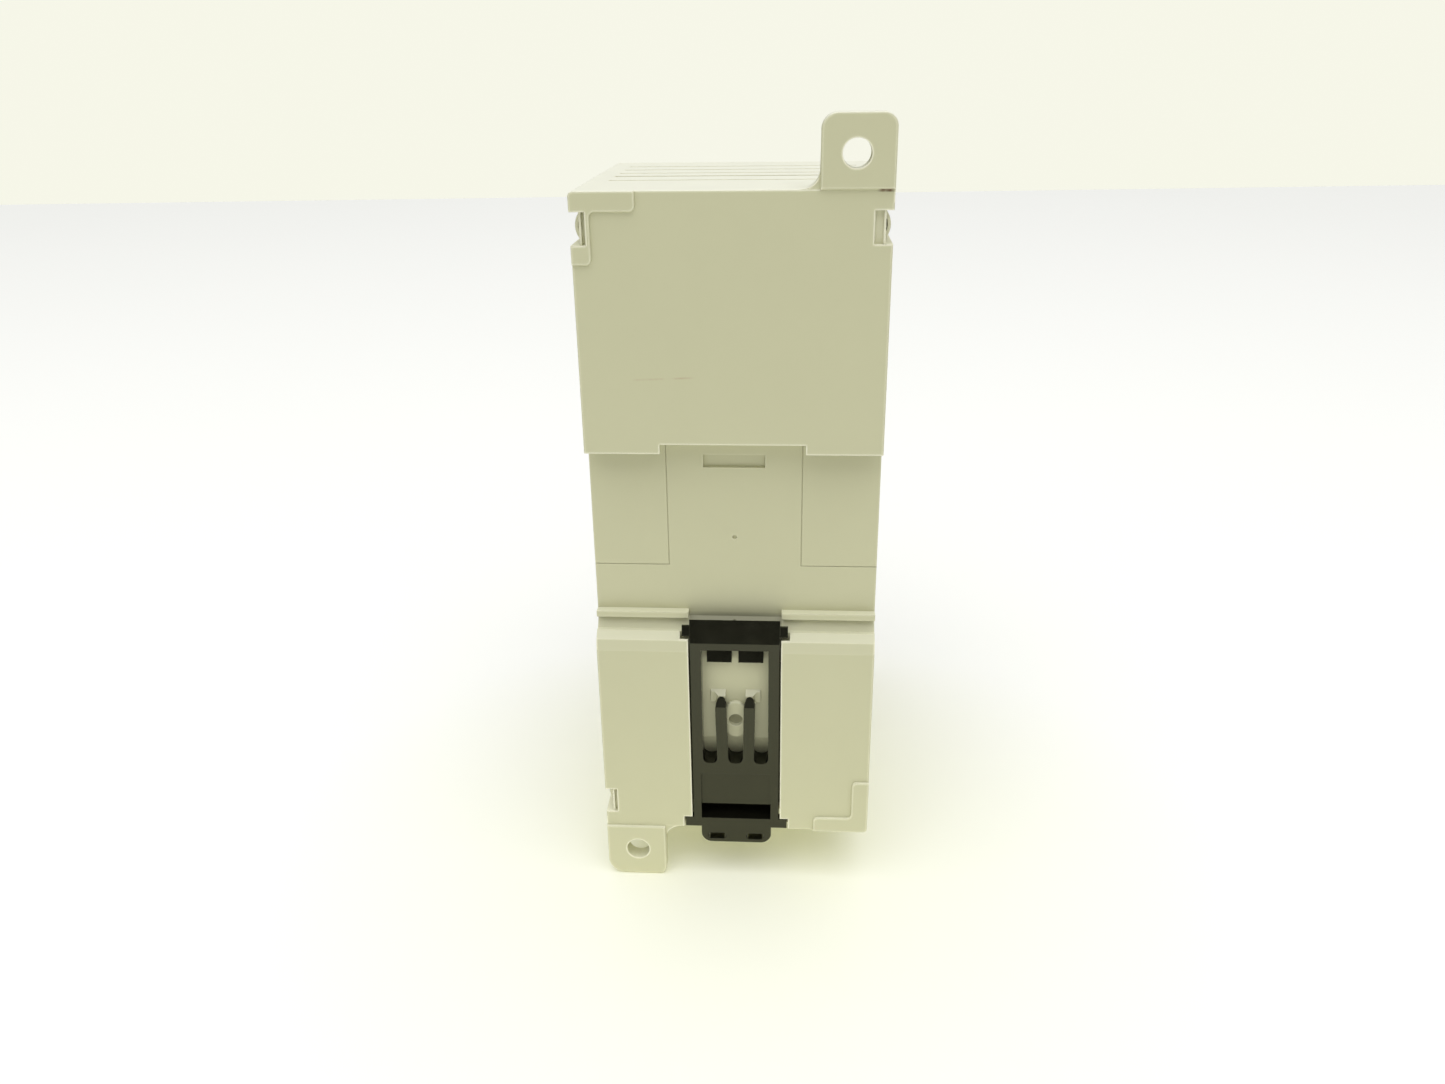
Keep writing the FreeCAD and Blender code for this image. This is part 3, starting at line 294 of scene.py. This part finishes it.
def latch_plastic():
    """Glossy black moulded plastic with a faint flow pattern, and matte tips on the spring legs."""
    n = Nodes("latch_plastic")
    flow = n.ramp(n.noise(4, 4, 0.5, (1, 1, 2.5)), 0.35, 0.7)
    color = n.mix(flow, (0.0055, 0.0055, 0.0035), (0.0075, 0.0075, 0.005))
    color = n.mix(n.maths("MULTIPLY", n.wear(0.25), 0.2), color, (0.03, 0.03, 0.022))
    beside = n.window(n.distance(n.axis(0)), 1.3, 4.0, 0.05)
    tips = n.maths("MULTIPLY", beside, n.window(n.axis(2), -32.4, -30.9, 0.08))
    shine = n.maths("MULTIPLY_ADD", tips, -0.5, 0.66)
    rough = n.maths("MULTIPLY_ADD", tips, 0.35, n.ramp(n.noise(3, 3), 0.3, 0.7, 0.13, 0.18))
    n.set(Base_Color=color, Roughness=rough, Specular_IOR_Level=shine,
          Specular_Tint=(1.0, 1.0, 0.68), Normal=n.bump(n.noise(0.5, 2), 0.003, n.edge_normal(0.12), 0.3))
    return n.material


def plastic(name, base, rough):
    """General moulded plastic: grain, rounded edges, light dust and rubbed edges."""
    grain_mm, grain_depth_mm, edge_mm = 0.25, 0.01, 0.15
    n = Nodes(name)
    mottle = n.ramp(n.noise(8, 4), 0.35, 0.65)
    color = n.mix(mottle, base, tuple(c * 0.9 for c in base))
    pale = tuple(min(1.0, c * 1.6 + 0.02) for c in base)
    color = n.mix(n.maths("MULTIPLY", n.wear(0.3), 0.5), color, pale)
    dusty = n.maths("MULTIPLY", n.ramp(n.noise(2.2, 5), 0.5, 0.8), 0.15)
    color = n.mix(dusty, color, tuple(0.75 * c + 0.12 for c in base))
    roughness = n.ramp(n.noise(4, 4), 0.3, 0.7, rough - 0.06, rough + 0.06)
    normal = n.bump(n.noise(grain_mm, 2), grain_depth_mm, n.edge_normal(edge_mm), 0.4)
    n.set(Base_Color=color, Roughness=roughness, Normal=normal)
    return n.material


def metal(name, base, rough, stretch=(1, 1, 1)):
    """Plated or drawn metal with fine streaks and dulled patches."""
    n = Nodes(name)
    tarnish = n.ramp(n.noise(2.5, 4), 0.4, 0.75)
    color = n.mix(n.maths("MULTIPLY", tarnish, 0.35), base, tuple(c * 0.7 for c in base))
    streak = n.noise(0.3, 3, 0.6, stretch)
    n.set(Base_Color=color, Metallic=1.0, Roughness=n.ramp(streak, 0.3, 0.7, rough - 0.1, rough + 0.12),
          Normal=n.bump(streak, 0.006, n.edge_normal(0.08), 0.4))
    return n.material


def board_mask():
    """Green solder mask with lighter copper traces beneath and a faint weave."""
    n = Nodes("board_mask")
    weave = n.add("ShaderNodeTexBrick")
    mapping = n.add("ShaderNodeMapping")
    mapping.inputs["Rotation"].default_value = (0, math.radians(90), 0)
    mapping.inputs["Scale"].default_value = [1 / (3.2 * MM)] * 3
    n.link(n.coords, mapping.inputs["Vector"])
    n.link(mapping.outputs[0], weave.inputs["Vector"])
    weave.inputs["Scale"].default_value = 1.0
    weave.inputs["Mortar Size"].default_value = 0.06
    traces = n.maths("MULTIPLY", weave.outputs["Fac"], 0.5)
    color = n.mix(traces, (0.012, 0.13, 0.05), (0.06, 0.28, 0.10))
    color = n.mix(n.maths("MULTIPLY", n.noise(6, 3), 0.3), color, (0.008, 0.09, 0.04))
    n.set(Base_Color=color, Roughness=n.ramp(n.noise(1, 3), 0.3, 0.7, 0.22, 0.36),
          Normal=n.bump(weave.outputs["Fac"], 0.02, n.edge_normal(0.1), 0.3), Coat_Weight=0.4)
    return n.material


def label_film(name, base, rule):
    """Blank label film with faint ruled lines and a paper-like tooth."""
    n = Nodes(name)
    wave = n.maths("FRACT", n.maths("DIVIDE", n.axis(2), ROW_PITCH))
    line = n.ramp(n.distance(n.maths("SUBTRACT", wave, 0.5)), 0.47, 0.485)
    color = n.mix(n.maths("MULTIPLY", n.noise(5, 4), 0.25), base, tuple(c * 0.93 for c in base))
    color = n.mix(n.maths("MULTIPLY", line, 0.6), color, rule)
    n.set(Base_Color=color, Roughness=n.ramp(n.noise(2, 3), 0.3, 0.7, 0.4, 0.55),
          Normal=n.bump(n.noise(0.15, 2), 0.004, None, 0.4))
    return n.material


def smoked_plastic():
    """Smoked window: dark, glossy, with faint surface waviness."""
    n = Nodes("smoked_plastic")
    tint = n.mix(n.noise(6, 3), (0.22, 0.22, 0.23), (0.30, 0.29, 0.29))
    n.set(Base_Color=tint, Roughness=n.ramp(n.noise(5, 4), 0.35, 0.7, 0.07, 0.16), Transmission_Weight=0.85,
          IOR=1.49, Normal=n.bump(n.noise(9, 2), 0.02, n.edge_normal(0.2), 0.2))
    return n.material


def clear_plastic():
    n = Nodes("clear_plastic")
    tint = n.mix(n.noise(2, 2), (0.92, 0.95, 0.96), (0.80, 0.86, 0.88))
    n.set(Base_Color=tint, Roughness=n.ramp(n.noise(1.5, 3), 0.3, 0.7, 0.1, 0.25), Transmission_Weight=0.9,
          IOR=1.49, Normal=n.bump(n.noise(1.2, 2), 0.01, n.edge_normal(0.1), 0.3))
    return n.material


def wound_transformer():
    """Yellow taped winding between dark ferrite plates."""
    n = Nodes("wound_transformer")
    low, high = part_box("isolation_transformer")
    middle = (low.z + high.z) / 2
    half_winding = 5.0 * MM
    off = n.distance(n.maths("SUBTRACT", n.axis(2), middle))
    winding = n.ramp(off, half_winding, half_winding + 0.1 * MM, 1.0, 0.0)
    turns = n.ramp(n.noise(0.5, 2, 0.5, (1, 1, 0.15)), 0.4, 0.6)
    tape = n.mix(turns, (0.62, 0.42, 0.06), (0.42, 0.27, 0.04))
    ferrite = n.mix(n.noise(0.6, 4), (0.04, 0.038, 0.036), (0.085, 0.08, 0.075))
    n.set(Base_Color=n.mix(winding, ferrite, tape), Roughness=n.ramp(winding, 0.0, 1.0, 0.6, 0.35),
          Normal=n.bump(n.noise(0.3, 3), 0.02, n.edge_normal(0.2), 0.4))
    return n.material


def assign(material, *names):
    for name in names:
        slots = NODES[name].material_slots
        if not slots:
            NODES[name].data.materials.append(material)
        for slot in slots:
            slot.link = "OBJECT"
            slot.material = material


def paint_frame():
    """Gives every CAD node its finish."""
    assign(housing_plastic(), "rear_housing", "front_cover", "terminal_door")
    assign(latch_plastic(), "din_latch")
    assign(label_film("door_label_film", (0.80, 0.80, 0.76), (0.25, 0.27, 0.30)), "door_label")
    assign(label_film("side_label_film", (0.55, 0.56, 0.57), (0.30, 0.31, 0.33)), "side_label")
    assign(plastic("terminal_black", (0.03, 0.03, 0.032), 0.5), "terminal_block")
    assign(plastic("guard_black", (0.05, 0.05, 0.055), 0.35), "finger_guard")
    assign(plastic("connector_black", (0.022, 0.022, 0.022), 0.45), "board_links", "terminal_header",
           "fixed_bus_connector", "moving_bus_connector")
    assign(plastic("lever_grey", (0.16, 0.165, 0.16), 0.4), "bus_lever")
    assign(plastic("chip_black", (0.016, 0.016, 0.017), 0.5), "controller_chip")
    assign(plastic("chip_white", (0.62, 0.62, 0.58), 0.45), "optocouplers")
    assign(plastic("relay_blue", (0.02, 0.07, 0.26), 0.3), "relays")
    assign(plastic("lamp_red", (0.75, 0.16, 0.05), 0.2), "leds")
    assign(metal("zinc_steel", (0.72, 0.72, 0.68), 0.3), "terminal_screws", "block_retaining_screws",
           "wire_clamps")
    assign(metal("tinned_brass", (0.76, 0.72, 0.60), 0.28), "terminal_contacts", "header_pins")
    assign(metal("gold_contact", (0.95, 0.68, 0.28), 0.2), "fixed_bus_contacts", "moving_bus_contacts")
    assign(metal("can_aluminium", (0.78, 0.79, 0.80), 0.25, (0.2, 1, 1)), "capacitors")
    assign(metal("crystal_can", (0.74, 0.74, 0.72), 0.25), "crystal")
    assign(board_mask(), "main_board", "io_board", "led_board")
    assign(smoked_plastic(), "status_window")
    assign(clear_plastic(), "light_guide")
    assign(wound_transformer(), "isolation_transformer")


# ---- pieces that the CAD leaves out ----
def mesh_piece(name, vertices, faces, material, smooth=False):
    mesh = bpy.data.meshes.new(name)
    mesh.from_pydata(vertices, [], faces)
    for polygon in mesh.polygons:
        polygon.use_smooth = smooth
    mesh.materials.append(material)
    piece = bpy.data.objects.new(name, mesh)
    bpy.context.scene.collection.objects.link(piece)
    return piece


def merged(parts):
    """One list of vertices and one of faces from several such pairs."""
    vertices, faces = [], []
    for part_vertices, part_faces in parts:
        base = len(vertices)
        vertices += part_vertices
        faces += [tuple(base + i for i in face) for face in part_faces]
    return vertices, faces


def box_part(x0, x1, y0, y1, z0, z1):
    vertices = [(x, y, z) for x in (x0, x1) for y in (y0, y1) for z in (z0, z1)]
    return vertices, [(0, 1, 3, 2), (4, 6, 7, 5), (0, 4, 5, 1), (2, 3, 7, 6), (0, 2, 6, 4), (1, 5, 7, 3)]


def dome_part(x, y, z, radius, height):
    """A low dome that stands on a board face and points along +X."""
    sides, rings = 10, 3
    vertices, faces = [], []
    for ring in range(rings):
        tilt = math.pi / 2 * ring / rings
        for i in range(sides):
            turn = 2 * math.pi * i / sides
            vertices.append((x + height * math.sin(tilt), y + radius * math.cos(tilt) * math.cos(turn),
                             z + radius * math.cos(tilt) * math.sin(turn)))
    vertices.append((x + height, y, z))
    faces.append(tuple(range(sides - 1, -1, -1)))
    for ring in range(rings - 1):
        for i in range(sides):
            a, b = ring * sides + i, ring * sides + (i + 1) % sides
            faces.append((a, b, b + sides, a + sides))
    last = (rings - 1) * sides
    faces += [(last + i, last + (i + 1) % sides, len(vertices) - 1) for i in range(sides)]
    return vertices, faces


def chip_resistors():
    """Two columns of small chip resistors on the main board, beside the signal isolators."""
    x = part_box("main_board")[0].x
    columns_mm, count, first_mm, pitch_mm = (-49.0, -33.5), 9, -46.0, 6.2
    thick, half_long, half_wide = 0.55 * MM, 0.8 * MM, 0.6 * MM
    bodies, caps = [], []
    for y_mm in columns_mm:
        for i in range(count):
            y = y_mm * MM
            z = (first_mm + pitch_mm * i) * MM
            bodies.append(box_part(x - thick, x - 0.02 * MM, y - half_long, y + half_long,
                                   z - half_wide, z + half_wide))
            for side in (-1, 1):
                ends = sorted((y + side * (half_long - 0.05 * MM), y + side * (half_long + 0.3 * MM)))
                caps.append(box_part(x - thick - 0.05 * MM, x + 0.01 * MM, *ends,
                                     z - half_wide - 0.03 * MM, z + half_wide + 0.03 * MM))
    black = plastic("resistor_black", (0.012, 0.012, 0.013), 0.35)
    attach(mesh_piece("chip_resistors", *merged(bodies), black), "case")
    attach(mesh_piece("resistor_ends", *merged(caps), metal("solder", (0.72, 0.73, 0.74), 0.32)), "case")


def solder_joints():
    """Solder domes on the outer face of the main board, under the transformer, header and links."""
    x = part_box("main_board")[1].x
    header = [(y, z) for y in (-64.5, -61.5) for z in range(-40, 18, 4)]
    transformer = [(y, z) for y in (-31.0, -25.5, -20.0, -14.5) for z in (19.5, 34.5)]
    links = [(y, z) for y in (-16.5, -13.5) for z0 in (-50, -12) for z in range(z0 + 2, z0 + 18, 2)]
    radius, height = 0.75 * MM, 0.5 * MM
    domes = [dome_part(x, y * MM, z * MM, radius, height) for y, z in header + transformer + links]
    tin = metal("solder_dome", (0.74, 0.75, 0.76), 0.25)
    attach(mesh_piece("solder_joints", *merged(domes), tin, True), "case")


def flexible_link():
    """Flat flexible cable between the moving bus connector and the main board, in a slack wave."""
    x0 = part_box("moving_bus_connector")[1].x
    x1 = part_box("main_board")[0].x
    low, high = 18.0 * MM, 36.0 * MM
    steps, thick, middle_y, swing = 40, 0.15 * MM, -58.2 * MM, 2.4 * MM
    vertices, faces = [], []
    for i in range(steps + 1):
        t = i / steps
        x = x0 + (x1 - x0) * t
        y = middle_y + swing * math.sin(2 * math.pi * t)
        vertices += [(x, y + dy, z) for dy in (0.0, thick) for z in (low, high)]
        if i:
            a, b = 4 * (i - 1), 4 * i
            faces += [(a, b, b + 1, a + 1), (a + 2, a + 3, b + 3, b + 2), (a, a + 2, b + 2, b),
                      (a + 1, b + 1, b + 3, a + 3)]
    faces += [(0, 1, 3, 2), (4 * steps, 4 * steps + 2, 4 * steps + 3, 4 * steps + 1)]
    cable = mesh_piece("flexible_link", vertices, faces, flex_amber(), True)
    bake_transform(cable)


def flex_amber():
    """Amber film with copper tracks that run along the cable."""
    n = Nodes("flex_amber")
    track_pitch = 1.27 * MM
    place = n.maths("FRACT", n.maths("DIVIDE", n.axis(2), track_pitch))
    track = n.maths("MULTIPLY", n.ramp(place, 0.35, 0.4), n.ramp(place, 0.8, 0.85, 1.0, 0.0))
    film = n.mix(n.noise(3, 3), (0.50, 0.22, 0.05), (0.42, 0.17, 0.04))
    rough = n.ramp(n.noise(2, 3), 0.3, 0.7, 0.22, 0.35)
    n.set(Base_Color=n.mix(track, film, (0.62, 0.34, 0.12)), Roughness=rough)
    return n.material


def dimple_dish():
    """Dished bottom of the round hole in the stop post between the latch's legs, coloured darker than the
    housing as painted shade.
    """
    radius, rim_y, depth, centre_z = 1.29 * MM, -3.7 * MM, 0.5 * MM, -36.2 * MM
    sides, rings = 32, 5
    vertices = [(0.0, rim_y - depth, centre_z)]
    faces = []
    for ring in range(1, rings + 1):
        share = ring / rings
        for i in range(sides):
            turn = 2 * math.pi * i / sides
            vertices.append((share * radius * math.cos(turn), rim_y - depth * (1 - share * share),
                             centre_z + share * radius * math.sin(turn)))
    for i in range(sides):
        j = (i + 1) % sides
        faces.append((0, 1 + i, 1 + j))
        for ring in range(rings - 1):
            a, b = 1 + ring * sides + i, 1 + ring * sides + j
            faces.append((a, a + sides, b + sides, b))
    # painted shade: the dish is coloured darker than the housing
    shaded_dish_plastic = plastic("dimple_shade_plastic", (0.44, 0.43, 0.29), 0.6)
    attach(mesh_piece("dimple_dish", vertices, faces, shaded_dish_plastic, True), "case")


# ---- stage, light and camera ----
ROOM_OVERHEAD = 1.55           # room light from straight above
ROOM_HORIZON = 0.05            # room light from the horizon
BACKDROP = (0.925, 0.925, 0.81, 1.0)
SOFTBOX_WATTS = 5.5
FLOOR_GAP = 0.2 * MM           # keeps the floor's face clear of the lower lug
FLOOR_GLOW_NEAR = (0.10, 0.10, 0.06)    # lifts the pale table to nearly white
FLOOR_GLOW_FAR = (0.13, 0.13, 0.13)
FLOOR_BOUNCE = (0.58, 0.58, 0.50)       # what the white floor throws back at the module
FLOOR_NEAR = (0.072, 0.125)             # distance from the origin over which near turns into far


def pale_floor():
    """Plain pale table top that the lower lug stands on, with its far edge well beyond the module, painted
    yellower near the module as painted bounce light.
    """
    z = CAD_LOW.z - FLOOR_GAP
    half_width, far_left, far_right, near_edge = 2.0, -1.075, -1.351, 1.5
    corners = [(-half_width, far_right, z), (half_width, far_left, z),
               (half_width, near_edge, z), (-half_width, near_edge, z)]
    mesh = bpy.data.meshes.new("floor")
    mesh.from_pydata(corners, [], [(0, 1, 2, 3)])
    floor = bpy.data.objects.new("floor", mesh)
    bpy.context.scene.collection.objects.link(floor)
    n = Nodes("pale_floor")
    away = n.add("ShaderNodeVectorMath", operation="LENGTH")
    n.link(n.coords, away.inputs[0])
    near = n.ramp(away.outputs["Value"], *FLOOR_NEAR, 1.0, 0.0)
    far = n.mix(n.noise(300, 2), (0.865, 0.87, 0.865), (0.88, 0.885, 0.88))
    glow = n.mix(near, FLOOR_GLOW_FAR, FLOOR_GLOW_NEAR)
    bounce = n.maths("MULTIPLY", near, n.add("ShaderNodeLightPath").outputs["Is Diffuse Ray"])
    # painted light: the table is yellower near the module, as painted bounce light from it
    n.set(Base_Color=n.mix(near, far, (0.885, 0.89, 0.83)), Roughness=0.7, Specular_IOR_Level=0.2,
          Emission_Color=n.mix(bounce, glow, FLOOR_BOUNCE), Emission_Strength=1.0)
    mesh.materials.append(n.material)


def area_light(name, place, target, size, watts, color):
    data = bpy.data.lights.new(name, "AREA")
    data.shape = "RECTANGLE"
    data.size, data.size_y = size
    data.energy = watts
    data.color = color
    light = bpy.data.objects.new(name, data)
    bpy.context.scene.collection.objects.link(light)
    light.location = place
    light.rotation_mode = "QUATERNION"
    light.rotation_quaternion = (Vector(target) - Vector(place)).to_track_quat("-Z", "Y")


def surround():
    """Room light that is strong overhead and dim at the horizon, and a backdrop for the camera only."""
    world = bpy.data.worlds.new("surround")
    world.use_nodes = True
    bpy.context.scene.world = world
    tree = world.node_tree
    tree.nodes.clear()

    def add(kind, **values):
        node = tree.nodes.new(kind)
        for key, value in values.items():
            setattr(node, key, value)
        return node

    split = add("ShaderNodeSeparateXYZ")
    tree.links.new(add("ShaderNodeTexCoord").outputs["Generated"], split.inputs[0])
    height = add("ShaderNodeMath", operation="MAXIMUM")
    tree.links.new(split.outputs["Z"], height.inputs[0])
    height.inputs[1].default_value = 0.0
    square = add("ShaderNodeMath", operation="POWER")
    tree.links.new(height.outputs[0], square.inputs[0])
    square.inputs[1].default_value = 2.0
    level = add("ShaderNodeMath", operation="MULTIPLY_ADD")
    tree.links.new(square.outputs[0], level.inputs[0])
    level.inputs[1].default_value = ROOM_OVERHEAD
    level.inputs[2].default_value = ROOM_HORIZON
    room = add("ShaderNodeBackground")
    room.inputs["Color"].default_value = (1.0, 1.0, 0.965, 1.0)
    tree.links.new(level.outputs[0], room.inputs["Strength"])
    backdrop = add("ShaderNodeBackground")
    backdrop.inputs["Color"].default_value = BACKDROP
    choice = add("ShaderNodeMixShader")
    tree.links.new(add("ShaderNodeLightPath").outputs["Is Camera Ray"], choice.inputs["Fac"])
    tree.links.new(room.outputs[0], choice.inputs[1])
    tree.links.new(backdrop.outputs[0], choice.inputs[2])
    tree.links.new(choice.outputs[0], add("ShaderNodeOutputWorld").inputs["Surface"])


def studio_light():
    """A large soft light above and behind the camera inside a soft surround."""
    surround()
    place, target, size = (0.0, 0.5, 1.0), (0, -0.02, -0.03), (1.4, 1.0)
    area_light("softbox", place, target, size, SOFTBOX_WATTS, (1.0, 1.0, 0.97))


def camera():
    """The viewpoint: behind the module and above it, with a wide compact-camera lens."""
    place = (-0.0101, 0.1789, 0.0774)
    pitch, yaw, roll = (math.radians(a) for a in (23.07, 3.82, -0.78))
    forward = Vector((0, -math.cos(pitch), -math.sin(pitch)))
    right = Vector((-1, 0, 0))
    up = Vector((0, -math.sin(pitch), math.cos(pitch)))
    rolled_right = math.cos(roll) * right + math.sin(roll) * up
    rolled_up = -math.sin(roll) * right + math.cos(roll) * up
    turn = Matrix.Rotation(yaw, 3, "Z")
    axes = [turn @ v for v in (rolled_right, rolled_up, -forward)]
    rotation = Matrix(axes).transposed()
    data = bpy.data.cameras.new("camera")
    data.sensor_width = 36.0
    data.lens = 28.28
    data.clip_start, data.clip_end = 0.005, 20.0
    holder = bpy.data.objects.new("camera", data)
    bpy.context.scene.collection.objects.link(holder)
    holder.matrix_world = Matrix.Translation(place) @ rotation.to_4x4()
    bpy.context.scene.camera = holder


paint_frame()
chip_resistors()
solder_joints()
flexible_link()
dimple_dish()
pale_floor()
studio_light()
camera()
bpy.context.scene.view_settings.view_transform = "Standard"
